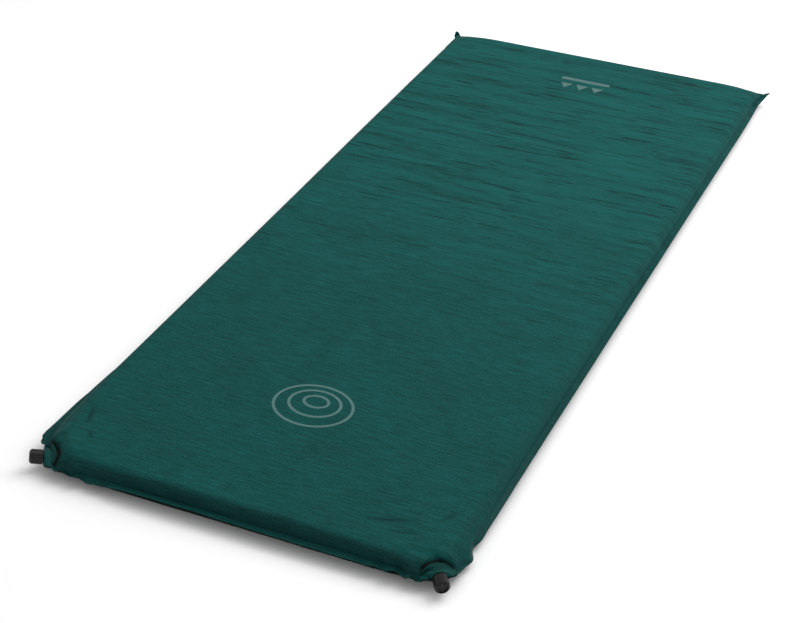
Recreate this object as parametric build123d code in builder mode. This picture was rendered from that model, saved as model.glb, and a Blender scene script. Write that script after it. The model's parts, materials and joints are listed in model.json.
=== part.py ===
from build123d import *

import os

# A self-inflating sleeping pad: a foam slab bonded between two coated fabric sheets that are
# welded together all round, with a screw valve in each of the two cut corners at one end.
#
# Millimetres, +Z up. The origin is on the floor under the middle of the pad, +Y points to the plain
# end and the valves are at the -Y end. Each valve is drawn on its own axis, with Z = 0 at the outer
# edge of the weld and +Z pointing out of the pad, and is then placed on its seat plane.

# The pad as a whole
LENGTH = 1960
WIDTH = 800
THICKNESS = 50
SHEET = 1.0  # coated fabric
SEAM_WIDTH = 12  # flat weld outside the wall
CORNER_CUT = {"left": 61, "right": 50}  # legs of the cut corners that hold the valves
SEAM_PLAIN_RADIUS = 4  # corners of the weld, in plan
SEAM_CUT_RADIUS = 8
WALL_PLAIN_RADIUS = 40  # corners of the wall, in plan
WALL_CUT_RADIUS = 26
SHOULDER_RADIUS = 20  # from the wall to the flat top
MIDDLE = THICKNESS / 2  # height of the weld

# The foam slab
FOAM_GAP = 10  # between the wall and the foam's cut edge
FOAM_EDGE_RADIUS = 10
FOAM_NOTCH_RADIUS = 21  # room for air round each valve's tail

# The printed marks, sunk level with the top sheet
INK = 0.2
RING_MARK_Y = -652
RING_WIDTH = 5.5
RING_MARKS = [(76, 64, 0), (51, 42, 7), (26, 20, 13)]  # half sizes, and how far each sits up the hill
PEAK_MARK_Y = 806
PEAK_PITCH = 38
PEAK_HEIGHT = 34
BAR_LENGTH = 120
BAR_WIDTH = 13
BAR_OFFSET = 33  # from the peaks' middle

# Valve housing: a lens-shaped weld boat, an inner tail and a threaded neck
VALVE_YAW = {"left": -13, "right": -10}  # degrees about the vertical, away from square to the cut
VALVE_LIFT = {"left": 10, "right": -2}  # degrees above the horizontal
VALVE_SHIFT = {"left": 5, "right": 3}  # along the cut, towards the pad's end
VALVE_REACH = {"left": 1, "right": 2}  # out past the cut
BOAT_HALF_WIDTH = 25
BOAT_HALF_HEIGHT = 9
BOAT_TIP = 1.0  # height of the blunt ends of the lens
BOAT_DEPTH = 20
HOOD_SETBACK = 1  # from the boat's outer face to the edge of the sheets over it
TAIL_RADIUS = 8
TAIL_END = -27
TAIL_NOTCH = 3
COLLAR_RADIUS = 11.5
COLLAR_TOP_RADIUS = 9.6
COLLAR_HEIGHT = 4
NECK_RADIUS = 8.0
NECK_TOP = 18
BORE_RADIUS = 5.5
SEAT_RADIUS = 4.3
SEAT_BOTTOM = 8
SEAT_TOP = 11
KEY_COUNT = 3
KEY_RADIUS = 4.6  # inner radius of the ribs that stop the plunger turning
KEY_WIDTH = 2.4
KEY_BOTTOM = 12

# Screw thread between neck and cap
PITCH = 5.0
TOOTH_BASE = 2.0
TOOTH_TIP = 1.2
TOOTH_ROOT = 0.4  # how far a tooth is sunk in what carries it
NECK_TOOTH_TIP = 9.0
NECK_THREAD_START = 7.0
NECK_TURNS = 1.9
CAP_TOOTH_TIP = 8.3
CAP_TURNS = 1.0

# Plunger: a keyed stem that the cap pulls out of the seat
STEM_RADIUS = 2.5
STEM_BOTTOM = 0.5
STEM_TOP = 22.8
FOOT_RADIUS = 4.9
FOOT_TOP = 2.5
FOOT_NOTCH = 2.0
LAND_RADIUS = 3.9
LAND_BOTTOM = 8.3
LAND_TOP = 10.9
SEAL_HEIGHT = 9.6
SEAL_SECTION = 0.75  # radius of the ring's section
SEAL_CENTRE_RADIUS = 3.45
WING_RADIUS = 5.2
WING_WIDTH = 1.6
WING_BOTTOM = 12.5
WING_TOP = 17.5
CLIP_BOTTOM = 20.8
CLIP_THICKNESS = 1.2
CLIP_RADIUS = 4.6
CLIP_GAP = 3.0
CLIP_GROOVE_RADIUS = 1.8

# Wiper ring between the neck and the cap's skirt
WIPER_HEIGHT = 5.2
WIPER_SECTION = 0.55
WIPER_CENTRE_RADIUS = 8.6

# Cap: a fluted knob with a mouthpiece plate in its end
CAP_RADIUS = 13.0
CAP_BOTTOM = 4.6
CAP_TOP = 28
CAP_BORE = 9.4
CAP_WEB_BOTTOM = 18.6
CAP_WEB_TOP = 20.2
WEB_HOLE_RADIUS = 3.0
WEB_VENTS = 6
WEB_VENT_RADIUS = 1.1
WEB_VENT_CIRCLE = 6.0
CHAMBER_RADIUS = 8.5
PLATE_RADIUS = 9.5
PLATE_BOTTOM = 23.4
PLATE_THICKNESS = 2.4
PLATE_SLOTS = 6
PLATE_SLOT_WIDTH = 1.4
PLATE_SLOT_IN = 3.5
PLATE_SLOT_OUT = 7.5
FLUTES = 18
FLUTE_RADIUS = 1.5
FLUTE_CENTRE = 13.7
FLUTE_TOP = 24
CAP_END_CHAMFER = 3.0
CAP_SKIRT_CHAMFER = 0.8


# ---------------------------------------------------------------- the pad


def plan(inset, plain_radius, cut_radius, level):
    """The pad's plan, inset from the weld's outer edge, with rounded corners, at a height."""
    with BuildSketch(Plane.XY.offset(level)) as face:
        Rectangle(WIDTH, LENGTH)
        left, right = face.vertices().group_by(Axis.Y)[0].sort_by(Axis.X)
        chamfer(left, CORNER_CUT["left"])
        chamfer(right, CORNER_CUT["right"])
        if inset:
            offset(amount=-inset, kind=Kind.INTERSECTION)
        fillet(face.vertices().group_by(Axis.Y)[-1], plain_radius)
        fillet(face.vertices().filter_by(lambda v: v.Y < 0), cut_radius)
    return face.sketch


def wall_plan(inset, level):
    """The plan a distance inside the wall's outer face, its corners concentric with the wall's."""
    return plan(SEAM_WIDTH + inset, WALL_PLAIN_RADIUS - inset, WALL_CUT_RADIUS - inset, level)


def valve_seat(side):
    """The plane a valve is placed on: its origin is near mid-cut, at the weld's outer edge, and
    its normal is the valve's axis, pointing out of the pad."""
    sign = -1 if side == "left" else 1
    square = Vector(sign, -1, 0).normalized()
    along = Vector(-sign, -1, 0).normalized()
    outward = square.rotate(Axis.Z, VALVE_YAW[side])
    across = Vector(0, 0, 1).cross(outward)
    axis = outward.rotate(Axis((0, 0, 0), across), -VALVE_LIFT[side])
    middle = CORNER_CUT[side] / 2
    origin = Vector(sign * (WIDTH / 2 - middle), middle - LENGTH / 2, MIDDLE)
    origin += along * VALVE_SHIFT[side] + square * VALVE_REACH[side]
    return Plane(origin, across, axis)


SEATS = {side: valve_seat(side) for side in ("left", "right")}


def lens(margin=0):
    """The pointed oval of the weld boat, seen along the valve's axis, or one larger all round."""
    half_width = BOAT_HALF_WIDTH + margin
    tip = BOAT_TIP / 2 + margin
    with BuildSketch() as face:
        with BuildLine():
            upper = ThreePointArc(
                (-half_width, tip), (0, BOAT_HALF_HEIGHT + margin), (half_width, tip)
            )
            lower = mirror(upper, about=Plane.XZ)
            Line(upper @ 0, lower.edge() @ 0)
            Line(upper @ 1, lower.edge() @ 1)
        make_face()
    return face.sketch


def boat_room(side):
    """The room that the sheets leave for the boat, through the weld and the wall."""
    with BuildPart() as room:
        with BuildSketch(SEATS[side].offset(-BOAT_DEPTH - SHEET)):
            add(lens())
        extrude(amount=BOAT_DEPTH + COLLAR_HEIGHT)
    return room.part


def boat_hood(side, half):
    """The solid round the boat that one of the sheets covers it with, out from the weld."""
    with BuildPart() as hood:
        with BuildSketch(SEATS[side].offset(-BOAT_DEPTH)):
            add(lens(SHEET))
        extrude(amount=BOAT_DEPTH - HOOD_SETBACK)
        split(bisect_by=Plane.XY.offset(MIDDLE), keep=half)
    return hood.part


def ring_mark():
    """Three nested rings, like the height lines of a hill on a map."""
    with BuildPart() as mark:
        with BuildSketch(Plane.XY.offset(THICKNESS - INK)):
            for half_x, half_y, shift in RING_MARKS:
                with Locations((0, RING_MARK_Y + shift)):
                    Ellipse(half_x, half_y)
                    Ellipse(half_x - RING_WIDTH, half_y - RING_WIDTH, mode=Mode.SUBTRACT)
        extrude(amount=INK)
    return mark.part


def peak_mark():
    """A row of three plain triangles beside a rounded bar."""
    with BuildPart() as mark:
        with BuildSketch(Plane.XY.offset(THICKNESS - INK)):
            with Locations((0, PEAK_MARK_Y - PEAK_HEIGHT / 2)):
                with GridLocations(PEAK_PITCH, 1, 3, 1):
                    RegularPolygon(PEAK_HEIGHT / 2, 3, rotation=-90)
            with Locations((0, PEAK_MARK_Y + BAR_OFFSET - PEAK_HEIGHT / 2)):
                SlotOverall(BAR_LENGTH, BAR_WIDTH)
        extrude(amount=INK)
    return mark.part


def pillow(inset):
    """The upper half of what is within the pad's outside, or within a smaller pillow inside it."""
    with BuildPart() as half:
        add(wall_plan(inset, MIDDLE))
        extrude(amount=THICKNESS - MIDDLE - inset)
        fillet(half.edges().group_by(Axis.Z)[-1], SHOULDER_RADIUS - inset)
    return half.part


def weld():
    """The upper half of the flat weld, filled in across the pad."""
    with BuildPart() as rim:
        add(plan(0, SEAM_PLAIN_RADIUS, SEAM_CUT_RADIUS, MIDDLE))
        extrude(amount=SHEET)
    return rim.part


def sheet(half):
    """One sheet of the envelope: weld, wall, flat face and a hood over each valve's boat."""
    pieces = [pillow(0), weld(), pillow(SHEET)]
    if half == Keep.BOTTOM:
        pieces = [mirror(piece, about=Plane.XY.offset(MIDDLE)) for piece in pieces]
    outside, rim, inside = pieces
    with BuildPart() as cover:
        add(outside)
        add(rim)
        for side in SEATS:
            add(boat_hood(side, half))
        add(inside, mode=Mode.SUBTRACT)
        for side in SEATS:
            add(boat_room(side), mode=Mode.SUBTRACT)
    return cover.part


def top_sheet():
    """The upper sheet, with the marks let into it."""
    with BuildPart() as marked:
        add(sheet(Keep.TOP))
        add(ring_mark(), mode=Mode.SUBTRACT)
        add(peak_mark(), mode=Mode.SUBTRACT)
    return marked.part


def foam_core():
    """The open-cell slab, notched at each valve so that air can reach it."""
    with BuildPart() as foam:
        add(wall_plan(SHEET + FOAM_GAP, SHEET))
        extrude(amount=THICKNESS - 2 * SHEET)
        levels = foam.edges().group_by(Axis.Z)
        fillet(levels[0] + levels[-1], FOAM_EDGE_RADIUS)
        for seat in SEATS.values():
            end = seat.offset(TAIL_END).origin
            with Locations((end.X, end.Y, MIDDLE)):
                Cylinder(FOAM_NOTCH_RADIUS, THICKNESS, mode=Mode.SUBTRACT)
    return foam.part


# ---------------------------------------------------------------- the valves, on their own axis


def tooth(inner, outer, wide_in, wide_out, height):
    """The section of a thread's tooth, on the +X side at a height: wide_in at the inner radius."""
    with BuildSketch(Plane.XZ) as section:
        with BuildLine():
            Polyline(
                (inner, height - wide_in / 2),
                (outer, height - wide_out / 2),
                (outer, height + wide_out / 2),
                (inner, height + wide_in / 2),
                close=True,
            )
        make_face()
    return section.sketch


def thread(radius, turns, height, section):
    """A ridge wound up the Z axis from a height."""
    with BuildPart() as ridge:
        with BuildLine():
            Helix(PITCH, turns * PITCH, radius, center=(0, 0, height))
        add(section)
        sweep(is_frenet=True)
    return ridge.part


def neck_thread():
    """The male thread on the outside of the valve's neck."""
    root = NECK_RADIUS - TOOTH_ROOT
    section = tooth(root, NECK_TOOTH_TIP, TOOTH_BASE, TOOTH_TIP, NECK_THREAD_START)
    return thread(NECK_RADIUS, NECK_TURNS, NECK_THREAD_START, section)


def cap_thread():
    """The female thread inside the cap's skirt, half a pitch away from the neck's."""
    root = CAP_BORE + TOOTH_ROOT
    height = NECK_THREAD_START + PITCH / 2
    section = tooth(CAP_TOOTH_TIP, root, TOOTH_TIP, TOOTH_BASE, height)
    return thread(CAP_BORE, CAP_TURNS, height, section)


def valve_body():
    """Weld boat, notched tail, collar and threaded neck, moulded in one, with the seat inside."""
    with BuildPart() as body:
        with BuildSketch(Plane.XY.offset(-BOAT_DEPTH)):
            add(lens())
        extrude(amount=BOAT_DEPTH)
        with BuildSketch(Plane.XY.offset(TAIL_END)):
            Circle(TAIL_RADIUS)
        extrude(amount=-TAIL_END)
        with BuildSketch():
            Circle(COLLAR_RADIUS)
        with BuildSketch(Plane.XY.offset(COLLAR_HEIGHT)):
            Circle(COLLAR_TOP_RADIUS)
        loft()
        with BuildSketch():
            Circle(NECK_RADIUS)
        extrude(amount=NECK_TOP)
        add(neck_thread())
        with BuildSketch(Plane.XY.offset(TAIL_END)):
            Circle(BORE_RADIUS)
        extrude(amount=NECK_TOP - TAIL_END, mode=Mode.SUBTRACT)
        with BuildSketch(Plane.XY.offset(SEAT_BOTTOM)):
            Circle(BORE_RADIUS + TOOTH_ROOT)
            Circle(SEAT_RADIUS, mode=Mode.SUBTRACT)
        extrude(amount=SEAT_TOP - SEAT_BOTTOM)
        with BuildSketch(Plane.XY.offset(KEY_BOTTOM)):
            with PolarLocations((KEY_RADIUS + NECK_RADIUS) / 2 - TOOTH_ROOT, KEY_COUNT, 60):
                Rectangle(NECK_RADIUS - KEY_RADIUS - 2 * TOOTH_ROOT, KEY_WIDTH)
        extrude(amount=WING_TOP - KEY_BOTTOM)
        with BuildSketch(Plane.XY.offset(TAIL_END)):
            Rectangle(3 * TAIL_RADIUS, TAIL_NOTCH)
            Rectangle(TAIL_NOTCH, 3 * TAIL_RADIUS)
        extrude(amount=TAIL_NOTCH, mode=Mode.SUBTRACT)
    return body.part


def plunger():
    """The stem with its air-notched foot, its sealing land and three wings between the keys."""
    with BuildPart() as stem:
        with BuildSketch(Plane.XY.offset(STEM_BOTTOM)):
            Circle(STEM_RADIUS)
        extrude(amount=STEM_TOP - STEM_BOTTOM)
        with BuildSketch(Plane.XY.offset(STEM_BOTTOM)):
            Circle(FOOT_RADIUS)
            with PolarLocations(FOOT_RADIUS, 4):
                Circle(FOOT_NOTCH, mode=Mode.SUBTRACT)
        extrude(amount=FOOT_TOP - STEM_BOTTOM)
        with BuildSketch(Plane.XY.offset(LAND_BOTTOM)):
            Circle(LAND_RADIUS)
        extrude(amount=LAND_TOP - LAND_BOTTOM)
        with BuildSketch(Plane.XZ):
            with Locations((SEAL_CENTRE_RADIUS, SEAL_HEIGHT)):
                Circle(SEAL_SECTION)
        revolve(axis=Axis.Z, mode=Mode.SUBTRACT)
        with BuildSketch(Plane.XY.offset(WING_BOTTOM)):
            with PolarLocations(WING_RADIUS / 2, 3):
                Rectangle(WING_RADIUS, WING_WIDTH)
        extrude(amount=WING_TOP - WING_BOTTOM)
        with BuildSketch(Plane.XY.offset(CLIP_BOTTOM)):
            Circle(STEM_RADIUS)
            Circle(CLIP_GROOVE_RADIUS, mode=Mode.SUBTRACT)
        extrude(amount=CLIP_THICKNESS, mode=Mode.SUBTRACT)
    return stem.part


def ring(centre_radius, section, height):
    """A rubber ring lying round the valve's axis."""
    with BuildPart() as rubber:
        with BuildSketch(Plane.XZ):
            with Locations((centre_radius, height)):
                Circle(section)
        revolve(axis=Axis.Z)
    return rubber.part


def retaining_clip():
    """The split washer that snaps into the stem's groove above the cap's web."""
    with BuildPart() as clip:
        with BuildSketch(Plane.XY.offset(CLIP_BOTTOM)):
            Circle(CLIP_RADIUS)
            Circle(CLIP_GROOVE_RADIUS, mode=Mode.SUBTRACT)
            with Locations((CLIP_RADIUS, 0)):
                Rectangle(2 * CLIP_RADIUS, CLIP_GAP, mode=Mode.SUBTRACT)
        extrude(amount=CLIP_THICKNESS)
    return clip.part


def cap():
    """The fluted knob: threaded skirt below a vented web, and a chamber under the mouthpiece."""
    with BuildPart() as knob:
        with BuildSketch(Plane.XY.offset(CAP_BOTTOM)):
            Circle(CAP_RADIUS)
        extrude(amount=CAP_TOP - CAP_BOTTOM)
        chamfer(knob.edges().group_by(Axis.Z)[-1], CAP_END_CHAMFER)
        chamfer(knob.edges().group_by(Axis.Z)[0], CAP_SKIRT_CHAMFER)
        with BuildSketch(Plane.XY.offset(CAP_BOTTOM)):
            with PolarLocations(FLUTE_CENTRE, FLUTES):
                Circle(FLUTE_RADIUS)
        extrude(amount=FLUTE_TOP - CAP_BOTTOM, mode=Mode.SUBTRACT)
        with BuildSketch(Plane.XY.offset(CAP_BOTTOM)):
            Circle(CAP_BORE)
        extrude(amount=CAP_WEB_BOTTOM - CAP_BOTTOM, mode=Mode.SUBTRACT)
        with BuildSketch(Plane.XY.offset(CAP_WEB_BOTTOM)):
            Circle(WEB_HOLE_RADIUS)
            with PolarLocations(WEB_VENT_CIRCLE, WEB_VENTS):
                Circle(WEB_VENT_RADIUS)
        extrude(amount=CAP_TOP - CAP_WEB_BOTTOM, mode=Mode.SUBTRACT)
        with BuildSketch(Plane.XY.offset(CAP_WEB_TOP)):
            Circle(CHAMBER_RADIUS)
        extrude(amount=CAP_TOP - CAP_WEB_TOP, mode=Mode.SUBTRACT)
        with BuildSketch(Plane.XY.offset(PLATE_BOTTOM)):
            Circle(PLATE_RADIUS)
        extrude(amount=CAP_TOP - PLATE_BOTTOM, mode=Mode.SUBTRACT)
        add(cap_thread())
    return knob.part


def mouthpiece():
    """The slotted plate that is pressed into the cap's end."""
    with BuildPart() as plate:
        with BuildSketch(Plane.XY.offset(PLATE_BOTTOM)):
            Circle(PLATE_RADIUS)
        extrude(amount=PLATE_THICKNESS)
        with BuildSketch(Plane.XY.offset(PLATE_BOTTOM)):
            with PolarLocations((PLATE_SLOT_IN + PLATE_SLOT_OUT) / 2, PLATE_SLOTS):
                Rectangle(PLATE_SLOT_OUT - PLATE_SLOT_IN, PLATE_SLOT_WIDTH)
        extrude(amount=PLATE_THICKNESS, mode=Mode.SUBTRACT)
    return plate.part


VALVE_PIECES = {
    "valve_body": valve_body(),
    "plunger": plunger(),
    "plunger_o_ring": ring(SEAL_CENTRE_RADIUS, SEAL_SECTION, SEAL_HEIGHT),
    "retaining_clip": retaining_clip(),
    "neck_o_ring": ring(WIPER_CENTRE_RADIUS, WIPER_SECTION, WIPER_HEIGHT),
    "cap": cap(),
    "mouthpiece": mouthpiece(),
}


# ---------------------------------------------------------------- files


def save(label, make):
    """Write one named piece to its own file."""
    with BuildPart() as piece:
        add(make)
    piece.part.label = label
    export_step(piece.part, f"parts/{label}.step")


os.makedirs("parts", exist_ok=True)
save("top_sheet", top_sheet())
save("bottom_sheet", sheet(Keep.BOTTOM))
save("foam_core", foam_core())
save("ring_mark", ring_mark())
save("peak_mark", peak_mark())
for side, seat in SEATS.items():
    for name, piece in VALVE_PIECES.items():
        save(f"{side}_{name}", seat.location * piece)
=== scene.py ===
"""Looks of the self-inflating sleeping pad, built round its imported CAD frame.

The envelope is cut flat, like the real one, and blown up as cloth. What is glued to the foam is
lifted to the foam's two faces, and what is welded to the valves or stiff with weld is held, while
the rest of the margin is free. So the seam is pulled in along the sides, stands out as ears in the
square corners and puckers round the valves. The fold behind each valve, the wavy hem beside it,
the curl of the far ears and the creases of the top are then pressed in by formula.
Metres, in the frame of the CAD.
"""

import json
import math

import bmesh
import bpy
import numpy as np
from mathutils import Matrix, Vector, noise
from mathutils.bvhtree import BVHTree


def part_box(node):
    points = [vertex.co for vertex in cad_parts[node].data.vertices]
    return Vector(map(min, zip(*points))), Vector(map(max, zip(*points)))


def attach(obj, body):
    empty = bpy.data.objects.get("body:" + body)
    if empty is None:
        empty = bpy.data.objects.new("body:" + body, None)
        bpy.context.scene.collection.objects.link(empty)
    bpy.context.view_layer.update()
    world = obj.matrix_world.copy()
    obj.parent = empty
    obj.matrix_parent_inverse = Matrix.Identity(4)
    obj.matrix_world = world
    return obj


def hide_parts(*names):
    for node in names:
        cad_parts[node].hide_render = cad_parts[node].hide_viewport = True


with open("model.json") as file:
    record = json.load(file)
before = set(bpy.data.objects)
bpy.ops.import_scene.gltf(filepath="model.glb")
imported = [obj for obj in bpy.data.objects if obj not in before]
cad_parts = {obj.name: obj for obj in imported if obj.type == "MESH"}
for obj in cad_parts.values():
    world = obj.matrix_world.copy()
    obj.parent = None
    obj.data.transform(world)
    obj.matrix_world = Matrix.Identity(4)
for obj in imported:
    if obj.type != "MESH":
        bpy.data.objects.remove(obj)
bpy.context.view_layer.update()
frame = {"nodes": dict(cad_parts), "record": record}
RECORD = frame["record"]

# The envelope as it is cut
SKIN = 0.0006  # thickness of one sheet as it looks
WELD = 0.012
WELD_EDGE = WELD + 1e-6  # whatever is no further than this from the cut's edge is weld
TAKE_UP = 0.0165  # how much of the cut each side loses to the wall's height
CUT_LEGS = {-1: 0.071, 1: 0.060}  # legs of the left and right cut corners in the flat cut
BLOCK = 0.1465  # side of the finely divided corner squares
WELD_CELLS = 3  # mesh cells across the weld
EDGE_CELLS = 22  # mesh cells across the rest of a corner square
MIDDLE_CELL = 0.015  # size of the mesh cells between the corner squares
FOAM_INSET = 0.034  # from the pad's outer edge to where the sheets are glued to the foam
FOAM_RADIUS = 0.035  # of the glued area's square corners
FOAM_SLACK = 0.009  # from the end of the glue back to the slab's own edge
CORNER_LEG = 0.072  # legs of the pad's cut corners, as the glued area follows them
TIP_LEGS = {-1: 0.061, 1: 0.050}  # legs of the cut corners once the pad is full
TIP_REACH = 0.009  # how much weld round each tip stays stiff
TIP_LIFT = {-1: 0.001, 1: -0.003}  # how far the tips stand above the weld's level
PIN_HALF = 0.0275  # half the length of weld that each valve's boat holds straight

# The simulation
FRAMES = 40
RISE_FRAMES = 12
UNEVEN = 0.0004  # how far from flat the cloth starts, so that it can buckle
UNEVEN_SCALE = 30
CLOTH = {
    "quality": 6,
    "mass": 0.02,
    "tension_stiffness": 60,
    "compression_stiffness": 60,
    "shear_stiffness": 20,
    "bending_stiffness": 0.02,
    "tension_damping": 10,
    "compression_damping": 10,
    "shear_damping": 10,
    "bending_damping": 0.5,
    "air_damping": 2,
    "use_pressure": True,
    "uniform_pressure_force": 12,
    "vertex_group_mass": "held",
    "vertex_group_pressure": "blown",
}

# The valves' boats, as in the CAD
BOAT_HALF_WIDTH = 0.025
BOAT_HALF_HEIGHT = 0.009
BOAT_DEPTH = 0.020
BOAT_CLEAR = 0.0007  # room between a boat and the sheets
LIP = 0.0035  # how far the weld closes past the boat's outer face
LIP_START = -0.0005  # where it begins to close, along the valve's axis
COLLAR_RADIUS = 0.0122
COLLAR_START = -0.002

# The fold that the full pad makes behind each boat
FOLD_HALF = 0.034  # half its length
FOLD_FADE = 0.010  # how much of each end runs out
FOLD_ENDS = -0.011  # where its ends are, along the valve's axis
FOLD_ARCH = {-1: 0.0085, 1: 0.014}  # how much further back its middle is
FOLD_WANDER = 0.0028  # how far it strays from the arch
FOLD_STRAY = 0.010  # run of the weld in which the straying goes through one radian
FOLD_DEPTH = 0.0050
FOLD_WIDTH = 0.0034
FOLD_AREA = 0.06  # it reaches no further from the seat than this
FOLD_RISE = 0.0030  # height of the swell behind it
SWELL_BACK = 0.013  # from the fold to the top of the swell
SWELL_WIDTH = 0.009

# The waves of the hem, each as its length and how far it swings out and up, and the far ears
HEM_REACH = 0.045  # from the cut's edge to where the waves die out
HEM_FADE = 0.06  # from the pad's end or side to where they die out
END_WAVE, END_SWING, END_RISE = 0.037, 0.0042, 0.0028
END_PHASES = (1.0, 2.2)  # beside the left and the right valve
END_STRETCH = (0.20, 0.26, 0.325, 0.35)  # where they start, are full, and die out again
SIDE_WAVE, SIDE_SWING = 0.055, 0.0028
SIDE_STRETCH = (0.80, 0.85, 0.915, 0.935)
SIDE_START = 0.872  # where along the side its wave crosses the straight line
EAR_LIFT = 0.009  # how far the ears at the plain end curl up
EAR_SIZE = 0.055

# The top's soft waves: how close they are across and along the pad, their layer of noise, height
WAVES = ((2.2, 17, 3.1, 0.00055), (5.0, 46, 8.7, 0.00022))
WAVES_START = (0.03, 0.07)  # from the cut's edge to where they begin, and to where they are full
CREASES = (
    # ends of each short crease near the valve corners, its depth and its half width
    ((-0.352, -0.815), (-0.335, -0.868), 0.0011, 0.004),
    ((-0.322, -0.878), (-0.303, -0.905), 0.0009, 0.004),
    ((0.215, -0.902), (0.300, -0.872), 0.0010, 0.0045),
    ((0.262, -0.915), (0.322, -0.900), 0.0008, 0.004),
    ((0.330, -0.862), (0.352, -0.820), 0.0008, 0.004),
)
CREASED_BELOW = -0.75  # no crease is nearer to the plain end than this
CREASE_SHADE = 700  # how much painted shade a crease gets, per metre of its depth

# The prints and the foam inside
PRINT_CELL = 0.008
PRINT_GAP = 0.0002
PRINT_THICKNESS = 0.00015
FOAM_CELL = 0.006
FOAM_SQUASH = 0.965

# The stage: each lamp's place, where it points, its size and power, and the fitted camera
WORLD_LIGHT = 0.75
LAMPS = {
    "window": ((2.0, 1.8, 3.3), (0, 0.2, 0), 3.2, 140),
    "top": ((0.3, 0.2, 4.0), (0, 0, 0), 3.0, 35),
}
LENS, SENSOR = 84.03, 36
CAMERA_PLACE = (1.2219, -3.0806, 1.9787)
CAMERA_TURN = (57.5262, -0.7339, 23.9677)  # degrees about x, y and z

LOW, HIGH = (np.array(v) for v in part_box("top_sheet"))
HALF_X, HALF_Y = (HIGH[0] - LOW[0]) / 2, (HIGH[1] - LOW[1]) / 2
MIDDLE = HIGH[2] / 2
CUT_X, CUT_Y = HALF_X + TAKE_UP, HALF_Y + TAKE_UP


def valve_frames():
    """Each valve's seat, the way along the weld, the way up from the weld, and its axis."""
    seats = []
    for joint in RECORD["behaviour"]["joints"]:
        if joint["type"] != "hinge":
            continue
        origin = np.array(joint["pos_m"])
        axis = np.array(joint["axis"]) / np.linalg.norm(joint["axis"])
        along = np.cross((0, 0, 1), axis)
        along /= np.linalg.norm(along)
        seats.append((origin, along, np.cross(axis, along), axis))
    return seats


SEATS = valve_frames()


def smooth(x, low, high):
    """0 below low, 1 above high, smooth between."""
    t = np.clip((x - low) / (high - low), 0, 1)
    return t * t * (3 - 2 * t)


def plateau(x, start, full, fading, end):
    """1 between full and fading, running out to 0 at start and at end."""
    return smooth(x, start, full) * (1 - smooth(x, fading, end))


def from_seat(points, seat):
    """Points as seen from a valve's seat: along the weld, up from it, and out along the axis."""
    origin, along, up, axis = seat
    local = points - origin
    return local @ along, local @ up, local @ axis


def add_object(name, data):
    """A new object in the scene."""
    obj = bpy.data.objects.new(name, data)
    bpy.context.scene.collection.objects.link(obj)
    return obj


def shade_smooth(obj):
    """Rounds off the look of all faces."""
    for face in obj.data.polygons:
        face.use_smooth = True


# ---------------------------------------------------------------- the flat cut


def grid_lines(half):
    """Places of the mesh lines across a width: close together near both edges."""
    near = list(np.linspace(0, WELD, WELD_CELLS + 1))
    near += list(np.linspace(WELD, BLOCK, EDGE_CELLS + 1))[1:]
    cells = int(round((2 * half - 2 * BLOCK) / MIDDLE_CELL))
    middle = list(np.linspace(BLOCK, 2 * half - BLOCK, cells + 1))[1:-1]
    return np.array(near + middle + [2 * half - v for v in reversed(near)]) - half


def into_cut(u, v, leg):
    """Moves a point at distances u and v from a corner square's sides into the cut corner."""
    d, far = min(u, v), max(u, v)
    leg += (math.sqrt(2) - 1) * d
    if leg <= d or leg >= BLOCK:
        return u, v
    straight, slanted = BLOCK - leg, (leg - d) / math.sqrt(2)
    run = (BLOCK - far) / (BLOCK - d) * (straight + slanted)
    if run <= straight:
        point = (BLOCK - run, d)
    else:
        step = (run - straight) / math.sqrt(2)
        point = (leg - step, d + step)
    return point if u >= v else point[::-1]


def foam_distance(x, y):
    """Distance outside the line where the glue ends, negative where the sheets are glued."""
    qx = abs(x) - (HALF_X - FOAM_INSET - FOAM_RADIUS)
    qy = abs(y) - (HALF_Y - FOAM_INSET - FOAM_RADIUS)
    d = math.hypot(max(qx, 0), max(qy, 0)) + min(max(qx, qy), 0) - FOAM_RADIUS
    if y < 0:
        cut = abs(x) + abs(y) - (HALF_X + HALF_Y - CORNER_LEG) + FOAM_INSET * math.sqrt(2)
        d = max(d, cut / math.sqrt(2))
    return d


def flat_cut():
    """The flat points, which of them are weld, and the upper and lower sheets' faces."""
    xs, ys = grid_lines(CUT_X), grid_lines(CUT_Y)
    points, edge, upper, lower = [], [], {}, {}
    for sheet in (upper, lower):
        for i, x in enumerate(xs):
            for j, y in enumerate(ys):
                u, v = CUT_X - abs(x), CUT_Y - abs(y)
                inset = min(u, v)
                if sheet is lower and inset <= WELD_EDGE:
                    lower[i, j] = upper[i, j]
                    continue
                if y < 0 and u < BLOCK and v < BLOCK:
                    u, v = into_cut(u, v, CUT_LEGS[math.copysign(1, x)])
                    x_cut, y_cut = math.copysign(CUT_X - u, x), v - CUT_Y
                else:
                    x_cut, y_cut = x, y
                sheet[i, j] = len(points)
                points.append((x_cut, y_cut))
                edge.append(inset)
    faces = {"upper": [], "lower": []}
    for i in range(len(xs) - 1):
        for j in range(len(ys) - 1):
            ring = [(i, j), (i + 1, j), (i + 1, j + 1), (i, j + 1)]
            faces["upper"].append([upper[k] for k in ring])
            faces["lower"].append([lower[k] for k in reversed(ring)])
    is_lower = np.zeros(len(points), bool)
    is_lower[[lower[k] for k in lower if lower[k] != upper[k]]] = True
    return np.array(points), np.array(edge), is_lower, faces


def corner_point(side, half_x, half_y, leg, along):
    """A point on a cut corner, from its tip on the long side (0) to its tip on the end (1)."""
    return np.array((side * (half_x - leg * along), -(half_y - leg * (1 - along))))


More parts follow.
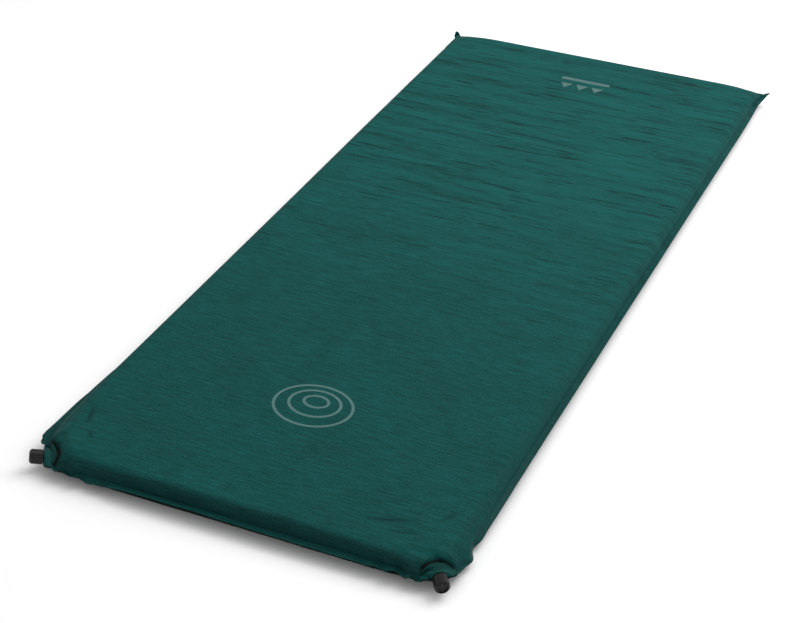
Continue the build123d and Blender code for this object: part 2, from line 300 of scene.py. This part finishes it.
def hold_tips(side, flat, edge, held, target):
    """Holds the two tips of a cut corner, which stand out as stiff ears of doubled cloth."""
    for along in (0, 1):
        cut = corner_point(side, CUT_X, CUT_Y, CUT_LEGS[side], along)
        tip = corner_point(side, HALF_X, HALF_Y, TIP_LEGS[side], along)
        stiff = (edge <= WELD_EDGE) & (np.linalg.norm(flat - cut, axis=1) < TIP_REACH)
        held |= stiff
        target[stiff, :2] = (flat + tip - cut)[stiff]
        target[stiff, 2] = TIP_LIFT[side]


def held_points(flat, edge, is_lower):
    """Which points are held, and where each is taken: glued to the foam, or welded to a valve."""
    held = np.zeros(len(flat), bool)
    target = np.column_stack([flat, np.zeros(len(flat))])
    for k, (x, y) in enumerate(flat):
        if edge[k] > WELD_EDGE and foam_distance(x, y) <= 0:
            held[k] = True
            target[k, 2] = (MIDDLE - SKIN) * (-1 if is_lower[k] else 1)
    for origin, along, _, axis in SEATS:
        side = math.copysign(1, origin[0])
        out, across = (np.array(v) / math.sqrt(2) for v in ((side, -1), (1, side)))
        middle = corner_point(side, CUT_X, CUT_Y, CUT_LEGS[side], 0.5)
        full_middle = corner_point(side, HALF_X, HALF_Y, TIP_LEGS[side], 0.5)
        off_centre = (origin[:2] - full_middle) @ across
        away, sideways = (flat - middle) @ out, (flat - middle) @ across - off_centre
        boat = (edge <= WELD_EDGE) & (np.abs(sideways) <= PIN_HALF) & (np.abs(away) < 2 * WELD)
        turn = math.copysign(1, along @ np.array([1, side, 0]))
        held |= boat
        place = origin + np.outer(away + LIP, axis) + np.outer(turn * sideways, along)
        target[boat] = (place - (0, 0, MIDDLE))[boat]
        hold_tips(side, flat, edge, held, target)
    return held, target


# ---------------------------------------------------------------- cloth


def new_object(name, points, faces):
    """A mesh object in the scene."""
    mesh = bpy.data.meshes.new(name)
    mesh.from_pydata([tuple(p) for p in points], [], faces)
    mesh.update()
    return add_object(name, mesh)


def coordinates(mesh):
    """The mesh's points as an array."""
    flat = np.empty(len(mesh.vertices) * 3)
    mesh.vertices.foreach_get("co", flat)
    return flat.reshape(-1, 3)


def blow_up(flat, edge, held, target, faces):
    """Lifts the held points to their places; the free margin follows as cloth under pressure."""
    start = np.column_stack([flat, np.zeros(len(flat))])
    both = faces["upper"] + [f for f in faces["lower"] if any(edge[k] > WELD_EDGE for k in f)]
    obj = new_object("envelope", start, both)
    keys = {name: obj.shape_key_add(name=name) for name in ("Basis", "cut", "lifted")}
    uneven = start.copy()
    for k, (x, y) in enumerate(flat):
        place = Vector((x * UNEVEN_SCALE, y * UNEVEN_SCALE, 0.5))
        uneven[k, 2] += UNEVEN * noise.noise(place)
    keys["Basis"].data.foreach_set("co", uneven.ravel())
    keys["lifted"].data.foreach_set("co", target.ravel())
    for value, at in ((0, 1), (1, RISE_FRAMES)):
        keys["lifted"].value = value
        keys["lifted"].keyframe_insert("value", frame=at)
    groups = {name: obj.vertex_groups.new(name=name) for name in ("held", "blown")}
    for name, members in (("held", held), ("blown", ~held & (edge > WELD_EDGE))):
        groups[name].add([int(k) for k in np.flatnonzero(members)], 1, "REPLACE")
    cloth = obj.modifiers.new("cloth", "CLOTH")
    for name, value in CLOTH.items():
        setattr(cloth.settings, name, value)
    cloth.settings.rest_shape_key = keys["cut"]
    cloth.settings.effector_weights.gravity = 0
    cloth.collision_settings.use_collision = False
    cloth.point_cache.frame_start, cloth.point_cache.frame_end = 1, FRAMES
    scene = bpy.context.scene
    scene.frame_start, scene.frame_end = 1, FRAMES
    for at in range(1, FRAMES + 1):
        scene.frame_set(at)
    depsgraph = bpy.context.evaluated_depsgraph_get()
    result = coordinates(obj.evaluated_get(depsgraph).data).copy()
    bpy.data.objects.remove(obj)
    scene.frame_set(1)
    return result


# ---------------------------------------------------------------- from cloth to covers


def relief(x, y):
    """Soft waves across the glued top, stronger towards the plain end."""
    far = 0.35 + 0.65 * smooth(y, -0.5, 0.6)
    return sum(
        height * far * noise.noise(Vector((x * across, y * along, layer)))
        for across, along, layer, height in WAVES
    )


def crease_depth(x, y):
    """How deep the short creases are at a place."""
    depth = 0.0
    for start, end, deepest, width in CREASES:
        ax, ay = start
        bx, by = end[0] - ax, end[1] - ay
        t = ((x - ax) * bx + (y - ay) * by) / (bx * bx + by * by)
        t = min(1, max(0, t))
        off = math.hypot(x - ax - t * bx, y - ay - t * by)
        taper = math.sin(math.pi * min(0.95, max(0.05, t)))
        depth += deepest * taper * math.exp(-((off / width) ** 2))
    return depth


def wave_hem(points, edge, flat):
    """Waves the weld and wall beside each valve along the end, and along the right side."""
    x, y = flat.T
    reach = 1 - np.minimum(1, edge / HEM_REACH)
    at_end = reach * (1 - smooth(y + CUT_Y, 0, HEM_FADE)) * plateau(np.abs(x), *END_STRETCH)
    angle = 2 * math.pi * np.abs(x) / END_WAVE
    points[:, 1] -= END_SWING * at_end * np.sin(angle + np.where(x < 0, *END_PHASES))
    points[:, 2] += END_RISE * at_end * np.cos(angle)
    at_side = reach * (1 - smooth(CUT_X - x, 0, HEM_FADE)) * plateau(-y, *SIDE_STRETCH)
    points[:, 0] -= SIDE_SWING * at_side * np.sin(2 * math.pi * (y + SIDE_START) / SIDE_WAVE)


def curl_ears(points, edge, flat):
    """Curls up the two ears at the plain end."""
    x, y = flat.T
    reach = 1 - np.minimum(1, edge / HEM_REACH)
    from_ear = np.hypot(CUT_X - np.abs(x), CUT_Y - y)
    points[:, 2] += EAR_LIFT * reach * (1 - smooth(from_ear, 0, EAR_SIZE))


def clear_boats(points, upper):
    """Lifts a cover off the boats and collars between the two sheets, and shuts it past them."""
    sign = 1 if upper else -1
    for seat in SEATS:
        a, h, z = from_seat(points, seat)
        span = np.clip(1 - (a / BOAT_HALF_WIDTH) ** 2, 0, 1)
        lens = BOAT_HALF_HEIGHT * span * (1 - smooth(z, LIP_START, LIP))
        collar = np.sqrt(np.clip(COLLAR_RADIUS**2 - a**2, 0, None)) * (z > COLLAR_START)
        room = np.maximum(lens, collar) + BOAT_CLEAR
        near = (np.abs(a) < BOAT_HALF_WIDTH * 1.15) & (z > -BOAT_DEPTH - 0.003) & (z < WELD)
        lack = np.where(near, np.maximum(0, room - sign * h), 0)
        points += np.outer(sign * lack, seat[2])


def fold_behind_boats(points, upper):
    """Presses an arched fold into a cover behind each boat, and gives its depth at each point, as
    the fold's painted shade.
    """
    sign = 1 if upper else -1
    painted_shade = np.zeros(len(points))
    for seat in SEATS:
        a, h, z = from_seat(points, seat)
        arch = FOLD_ARCH[math.copysign(1, seat[0][0])] * np.clip(1 - (a / FOLD_HALF) ** 2, 0, 1)
        off = z - FOLD_ENDS + arch + FOLD_WANDER * np.sin(a / FOLD_STRAY + sign)
        beside = (sign * h > 0) * (np.abs(z) < FOLD_AREA)
        there = smooth(FOLD_HALF - np.abs(a), 0, FOLD_FADE) * beside
        dip = there * np.exp(-((off / FOLD_WIDTH) ** 2))
        swell = there * np.exp(-(((off + SWELL_BACK) / SWELL_WIDTH) ** 2))
        points -= np.outer(sign * (FOLD_DEPTH * dip - FOLD_RISE * swell), seat[2])
        painted_shade = np.maximum(painted_shade, dip)
    return painted_shade


def build_cover(name, upper, shape, flat, edge, faces):
    """One sheet as a closed skin: finer mesh, folds and waves, off the boats, above the floor."""
    used = sorted({k for face in faces for k in face})
    index = {k: n for n, k in enumerate(used)}
    obj = new_object(name, shape[used], [[index[k] for k in face] for face in faces])
    cloth = obj.data.attributes.new("cloth", "FLOAT_VECTOR", "POINT")
    cloth.data.foreach_set("vector", np.column_stack([flat, edge])[used].ravel())
    finer = obj.modifiers.new("finer", "SUBSURF")
    finer.levels = finer.render_levels = 1
    bake(obj)
    points = coordinates(obj.data).copy()
    cut = np.empty(len(points) * 3)
    obj.data.attributes["cloth"].data.foreach_get("vector", cut)
    cut = cut.reshape(-1, 3)
    points[:, 2] += MIDDLE
    painted_shade = fold_behind_boats(points, upper)
    clear_boats(points, upper)
    if upper:
        inside = smooth(cut[:, 2], *WAVES_START)
        for k, (x, y, _) in enumerate(cut):
            if inside[k] > 0:
                points[k, 2] += inside[k] * relief(x, y)
            # each crease is pressed in and also gets painted shade
            if y < CREASED_BELOW:
                crease = crease_depth(x, y)
                points[k, 2] -= crease
                painted_shade[k] += CREASE_SHADE * crease
    else:
        points[:, 2] = np.maximum(points[:, 2], SKIN)
    obj.data.vertices.foreach_set("co", points.ravel())
    # the painted shade of the folds and creases, which the material darkens the colour by
    obj.data.attributes.new("fold", "FLOAT", "POINT").data.foreach_set("value", painted_shade)
    obj.data.update()
    skin = obj.modifiers.new("skin", "SOLIDIFY")
    skin.thickness, skin.offset = SKIN, 1
    bake(obj)
    shade_smooth(obj)
    return obj


def bake(obj):
    """Applies every modifier."""
    depsgraph = bpy.context.evaluated_depsgraph_get()
    mesh = bpy.data.meshes.new_from_object(obj.evaluated_get(depsgraph), depsgraph=depsgraph)
    old = obj.data
    obj.modifiers.clear()
    obj.data = mesh
    bpy.data.meshes.remove(old)


def build_mark(name, node, surface):
    """A print: the face of the CAD's mark, laid on the cover's surface."""
    mesh = bmesh.new()
    mesh.from_mesh(frame["nodes"][node].data)
    bmesh.ops.remove_doubles(mesh, verts=mesh.verts, dist=1e-6)
    mesh.normal_update()
    below = [f for f in mesh.faces if f.normal.z < 0.9]
    bmesh.ops.delete(mesh, geom=below, context="FACES")
    for _ in range(4):
        long = [e for e in mesh.edges if e.calc_length() > PRINT_CELL]
        if long:
            bmesh.ops.subdivide_edges(mesh, edges=long, cuts=1)
            bmesh.ops.triangulate(mesh, faces=mesh.faces)
    for vert in mesh.verts:
        hit = surface.ray_cast(Vector((vert.co.x, vert.co.y, 1)), Vector((0, 0, -1)))[0]
        vert.co.z = hit.z + PRINT_GAP
    data = bpy.data.meshes.new(name)
    mesh.to_mesh(data)
    mesh.free()
    obj = add_object(name, data)
    skin = obj.modifiers.new("skin", "SOLIDIFY")
    skin.thickness, skin.offset = PRINT_THICKNESS, -1
    bake(obj)
    return obj


def build_foam():
    """The slab inside: the CAD's shape in an even mesh, drawn in a little to clear the sheets."""
    obj = add_object("foam_slab", frame["nodes"]["foam_core"].data.copy())
    remesh = obj.modifiers.new("even", "REMESH")
    remesh.mode, remesh.voxel_size = "VOXEL", FOAM_CELL
    bake(obj)
    points = coordinates(obj.data).copy()
    points[:, 2] = MIDDLE + (points[:, 2] - MIDDLE) * FOAM_SQUASH
    for k, (x, y, _) in enumerate(points):
        out = foam_distance(x, y) + FOAM_SLACK
        if out > 0:
            slope_x = foam_distance(x + 1e-4, y) - foam_distance(x - 1e-4, y)
            slope_y = foam_distance(x, y + 1e-4) - foam_distance(x, y - 1e-4)
            points[k, :2] -= out * np.array((slope_x, slope_y)) / math.hypot(slope_x, slope_y)
    obj.data.vertices.foreach_set("co", points.ravel())
    obj.data.update()
    shade_smooth(obj)
    return obj


# ---------------------------------------------------------------- materials


class Shader:
    """A material's node tree, built node by node."""

    def __init__(self, name):
        self.material = bpy.data.materials.new(name)
        self.material.use_nodes = True
        self.tree = self.material.node_tree
        self.surface = self.tree.nodes["Principled BSDF"]

    def node(self, kind, **inputs):
        """A node with its sockets set or linked. _0, _1 and so on are sockets by number."""
        node = self.tree.nodes.new("ShaderNode" + kind)
        for key, value in inputs.items():
            self.put(node.inputs[int(key[1:]) if key[0] == "_" else key.replace("_", " ")], value)
        return node

    def carried(self, name, output):
        """A value that the mesh's points carry."""
        node = self.node("Attribute")
        node.attribute_name = name
        return node.outputs[output]

    def put(self, socket, value):
        """Links or sets one socket."""
        if isinstance(value, bpy.types.NodeSocket):
            self.tree.links.new(value, socket)
        else:
            socket.default_value = value

    def math(self, operation, a, b, c=0.0):
        """A sum, product or the like of two or three values."""
        node = self.node("Math", _0=a, _1=b, _2=c)
        node.operation = operation
        return node.outputs[0]

    def total(self, *terms):
        """The sum of values, each times its weight."""
        result = 0.0
        for value, weight in terms:
            result = self.math("MULTIPLY_ADD", value, weight, result)
        return result

    def spread(self, vector, scale, detail=2.0, roughness=0.5, warp=0.0):
        """Noise centred on 0 at stretched coordinates."""
        mapping = self.node("Mapping", Vector=vector, Scale=scale)
        node = self.node("TexNoise", Vector=mapping.outputs[0], Scale=1.0, Detail=detail)
        self.put(node.inputs["Roughness"], roughness)
        self.put(node.inputs["Distortion"], warp)
        return self.math("SUBTRACT", node.outputs[0], 0.5)

    def ramp(self, value, low, high, to_low=0.0, to_high=1.0):
        """A smooth step from to_low to to_high."""
        node = self.node("MapRange", Value=value, From_Min=low, From_Max=high)
        self.put(node.inputs["To Min"], to_low)
        self.put(node.inputs["To Max"], to_high)
        node.interpolation_type = "SMOOTHSTEP"
        return node.outputs[0]

    def mix(self, factor, a, b):
        """A blend of two colours."""
        node = self.tree.nodes.new("ShaderNodeMix")
        node.data_type = "RGBA"
        self.put(node.inputs[0], factor)
        self.put(node.inputs[6], a)
        self.put(node.inputs[7], b)
        return node.outputs[2]

    def bump(self, height, distance, strength=1.0, normal=None):
        """A normal from a height in units of distance."""
        node = self.node("Bump", Strength=strength, Distance=distance, Height=height)
        if normal is not None:
            self.put(node.inputs["Normal"], normal)
        return node.outputs[0]

    def finish(self, **inputs):
        """Sets the surface's sockets and gives the material."""
        for key, value in inputs.items():
            self.put(self.surface.inputs[key.replace("_", " ")], value)
        return self.material


def cover_material(name, base, streaks, wall_shade):
    """Brushed polyester, laid out on the flat cut, with an embossed weld.

    Its slubs, dark crosswise grooves and bands grow towards the plain end. The grooves are painted
    darker, as painted shade in them, and the cloth is painted lighter towards the plain end, as
    painted light. The wall, the weld and the folds and creases are darker by painted shade: by
    wall_shade and by what the cover's points carry.
    """
    s = Shader(name)
    where = s.carried("cloth", "Vector")
    _, y, edge = s.node("SeparateXYZ", Vector=where).outputs
    far = s.ramp(y, -0.55, 0.50, 0.12, 1.0)
    speckle = s.spread(where, (250, 400, 0), detail=2.0, roughness=0.7)
    slub = s.spread(where, (26, 210, 0), detail=3.0, roughness=0.6)
    groove = s.spread(where, (7, 100, 0), detail=4.0, roughness=0.65, warp=0.25)
    band = s.spread(where, (2.6, 33, 0), detail=4.0, roughness=0.65, warp=0.2)
    cloud = s.spread(where, (7, 7, 0), detail=3.0, roughness=0.6)
    # in the tone the grooves are painted darker, as painted shade in them; the bump presses them
    # in as well
    grooves = s.math("MULTIPLY", s.ramp(groove, 0.05, 0.17), far)
    bands = s.math("MULTIPLY", band, far)
    # the far term paints the cloth lighter towards the plain end, as painted light
    tone = s.total(
        (speckle, 1.7), (slub, 1.2), (grooves, -0.80), (bands, 1.6), (cloud, 0.4), (far, 0.24)
    )
    tone = s.math("MULTIPLY_ADD", tone, streaks, 0.5)
    dark, light = (tuple(c * k for c in base) + (1,) for k in (0.45, 1.55))
    weld = s.ramp(edge, WELD * 0.92, WELD * 1.05, 1.0, 0.0)
    # painted shade: the wall, darkest at the valve end, the weld, and the folds and creases are
    # mixed towards near black
    wall = s.math("SUBTRACT", s.ramp(edge, 0.032, 0.051, 1.0, 0.0), weld)
    wall = s.math("MULTIPLY", wall, s.ramp(y, -0.97, -0.88, 1.0, 0.35))
    fold = s.carried("fold", "Fac")
    painted_shade = s.total((wall, wall_shade), (weld, wall_shade * 0.5), (fold, 0.75))
    colour = s.mix(painted_shade, s.mix(tone, dark, light), (0, 0.001, 0.001, 1))
    weave_x = s.node("TexWave", Vector=where, Scale=330.0, Distortion=0.6)
    weave_y = s.node("TexWave", Vector=where, Scale=330.0, Distortion=0.6)
    weave_y.bands_direction = "Y"
    weave = s.math("MULTIPLY", weave_x.outputs["Fac"], weave_y.outputs["Fac"])
    emboss = s.node("TexWave", Vector=where, Scale=70.0)
    emboss.bands_direction = "DIAGONAL"
    normal = s.bump(weave, 0.00012, 0.35)
    normal = s.bump(slub, 0.0009, 0.35 * streaks, normal)
    normal = s.bump(s.math("MULTIPLY", grooves, -1.0), 0.0010, 0.55 * streaks, normal)
    normal = s.bump(bands, 0.0022, 0.6 * streaks, normal)
    normal = s.bump(s.math("MULTIPLY", emboss.outputs["Fac"], weld), 0.0002, 0.6, normal)
    worn = s.ramp(cloud, 0.0, 0.3, 0.0, 0.05)
    rough = s.math("SUBTRACT", s.math("ADD", worn, 0.72), s.math("MULTIPLY", weld, 0.14))
    return s.finish(
        Base_Color=colour,
        Roughness=rough,
        Normal=normal,
        Specular_IOR_Level=0.07,
        Sheen_Weight=0.012,
        Sheen_Roughness=0.45,
        Sheen_Tint=(0.35, 0.75, 0.68, 1),
    )


def print_material():
    """Flat screen ink, a little worn, with the cloth's streaks showing through."""
    s = Shader("screen_ink")
    where = s.node("TexCoord").outputs["Object"]
    slub = s.spread(where, (26, 380, 0), 3.0, 0.6)
    worn = s.spread(where, (60, 60, 0), 4.0, 0.6)
    tone = s.math("ADD", s.math("MULTIPLY", slub, 0.9), s.math("MULTIPLY", worn, 0.5))
    colour = s.mix(s.math("ADD", tone, 0.5), (0.034, 0.096, 0.090, 1), (0.054, 0.132, 0.124, 1))
    normal = s.bump(slub, 0.0004, 0.3)
    return s.finish(Base_Color=colour, Roughness=0.55, Normal=normal, Specular_IOR_Level=0.35)


def plastic_material(name, colour, rough):
    """Moulded plastic: faint spark-eroded grain, handling polish and dust."""
    s = Shader(name)
    where = s.node("TexCoord").outputs["Object"]
    spark = s.spread(where, (1800, 1800, 1800), 2.0)
    handled = s.spread(where, (90, 90, 90), 4.0, 0.6)
    dust = s.ramp(handled, 0.02, 0.30, 0.0, 0.25)
    lighter = tuple(c * 1.6 + 0.003 for c in colour[:3]) + (1,)
    normal = s.bump(spark, 0.00003, 0.5)
    return s.finish(
        Base_Color=s.mix(dust, colour, lighter),
        Roughness=s.math("ADD", s.math("MULTIPLY", handled, 0.28), rough),
        Normal=normal,
        Specular_IOR_Level=0.3,
    )


def foam_material():
    """Open-cell foam."""
    s = Shader("open_cell_foam")
    where = s.node("TexCoord").outputs["Object"]
    cells = s.node("TexVoronoi", Vector=where, Scale=600.0)
    tint = s.spread(where, (14, 14, 14), 3.0)
    colour = s.mix(s.math("ADD", tint, 0.5), (0.62, 0.58, 0.44, 1), (0.78, 0.75, 0.62, 1))
    normal = s.bump(cells.outputs["Distance"], 0.0008, 0.8)
    return s.finish(Base_Color=colour, Roughness=0.9, Normal=normal)


def floor_material():
    """Pale seamless studio paper."""
    s = Shader("studio_paper")
    where = s.node("TexCoord").outputs["Object"]
    tone = s.spread(where, (2, 2, 2), 3.0)
    colour = s.mix(s.math("ADD", tone, 0.5), (0.80, 0.80, 0.80, 1), (0.83, 0.83, 0.83, 1))
    return s.finish(Base_Color=colour, Roughness=0.9, Specular_IOR_Level=0.1)


def paint(obj, material):
    """Gives the object one material."""
    obj.data.materials.clear()
    obj.data.materials.append(material)


# ---------------------------------------------------------------- the object


def build_pad():
    """Both covers, the foam and the prints."""
    flat, edge, is_lower, faces = flat_cut()
    held, target = held_points(flat, edge, is_lower)
    shape = blow_up(flat, edge, held, target, faces)
    wave_hem(shape, edge, flat)
    curl_ears(shape, edge, flat)
    top = build_cover("top_cover", True, shape, flat, edge, faces["upper"])
    bottom = build_cover("bottom_cover", False, shape, flat, edge, faces["lower"])
    surface = BVHTree.FromPolygons(
        [v.co for v in top.data.vertices], [tuple(p.vertices) for p in top.data.polygons]
    )
    rings = build_mark("ring_print", "ring_mark", surface)
    peaks = build_mark("peak_print", "peak_mark", surface)
    foam = build_foam()
    # the last number sets the painted shade of the wall and weld; the bottom's darker teal-black
    # is partly its own colour and partly painted shade of its lower wall
    paint(top, cover_material("top_weave", (0.0022, 0.0485, 0.0447), 1.0, 0.50))
    paint(bottom, cover_material("bottom_weave", (0.0006, 0.014, 0.0125), 0.6, 0.60))
    ink = print_material()
    paint(rings, ink)
    paint(peaks, ink)
    paint(foam, foam_material())
    pieces = (
        (top, "top_sheet", "top_fabric"),
        (bottom, "bottom_sheet", "bottom_fabric"),
        (foam, "foam_core", "foam"),
        (rings, "ring_mark", "print"),
        (peaks, "peak_mark", "print"),
    )
    for piece, node, finish in pieces:
        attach(piece, "pad")
        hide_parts(node)


def finish_valves():
    """Better materials for the CAD's own valve pieces."""
    black = (0.0015, 0.0015, 0.0017, 1)
    cap = plastic_material("cap_plastic", black, 0.22)
    body = plastic_material("body_plastic", black, 0.38)
    inner = plastic_material("inner_plastic", (0.006, 0.006, 0.0065, 1), 0.5)
    rubber = plastic_material("seal_rubber", (0.008, 0.008, 0.008, 1), 0.62)
    by_piece = {
        "valve_body": body,
        "plunger": inner,
        "plunger_o_ring": rubber,
        "retaining_clip": inner,
        "neck_o_ring": rubber,
        "cap": cap,
        "mouthpiece": inner,
    }
    for side in ("left", "right"):
        for piece, material in by_piece.items():
            paint(frame["nodes"][f"{side}_{piece}"], material)


def build_stage():
    """Pale floor, soft light from above and behind, and the camera."""
    scene = bpy.context.scene
    scene.view_settings.view_transform = "Standard"
    bpy.ops.mesh.primitive_plane_add(size=40, location=(0, 0, 0))
    floor = bpy.context.object
    floor.name = "floor"
    paint(floor, floor_material())
    world = bpy.data.worlds.new("studio")
    world.use_nodes = True
    colour, strength = world.node_tree.nodes["Background"].inputs[:2]
    colour.default_value = (1, 1, 1, 1)
    strength.default_value = WORLD_LIGHT
    scene.world = world
    for name, (place, aim, size, power) in LAMPS.items():
        lamp = bpy.data.lights.new(name, "AREA")
        lamp.energy, lamp.size = power, size
        obj = add_object(name, lamp)
        obj.location = place
        ahead = Vector(aim) - Vector(place)
        obj.rotation_euler = ahead.to_track_quat("-Z", "Y").to_euler()
    camera = bpy.data.cameras.new("camera")
    camera.lens, camera.sensor_width = LENS, SENSOR
    obj = add_object("camera", camera)
    obj.location = CAMERA_PLACE
    obj.rotation_euler = [math.radians(angle) for angle in CAMERA_TURN]
    scene.camera = obj


build_pad()
finish_valves()
build_stage()
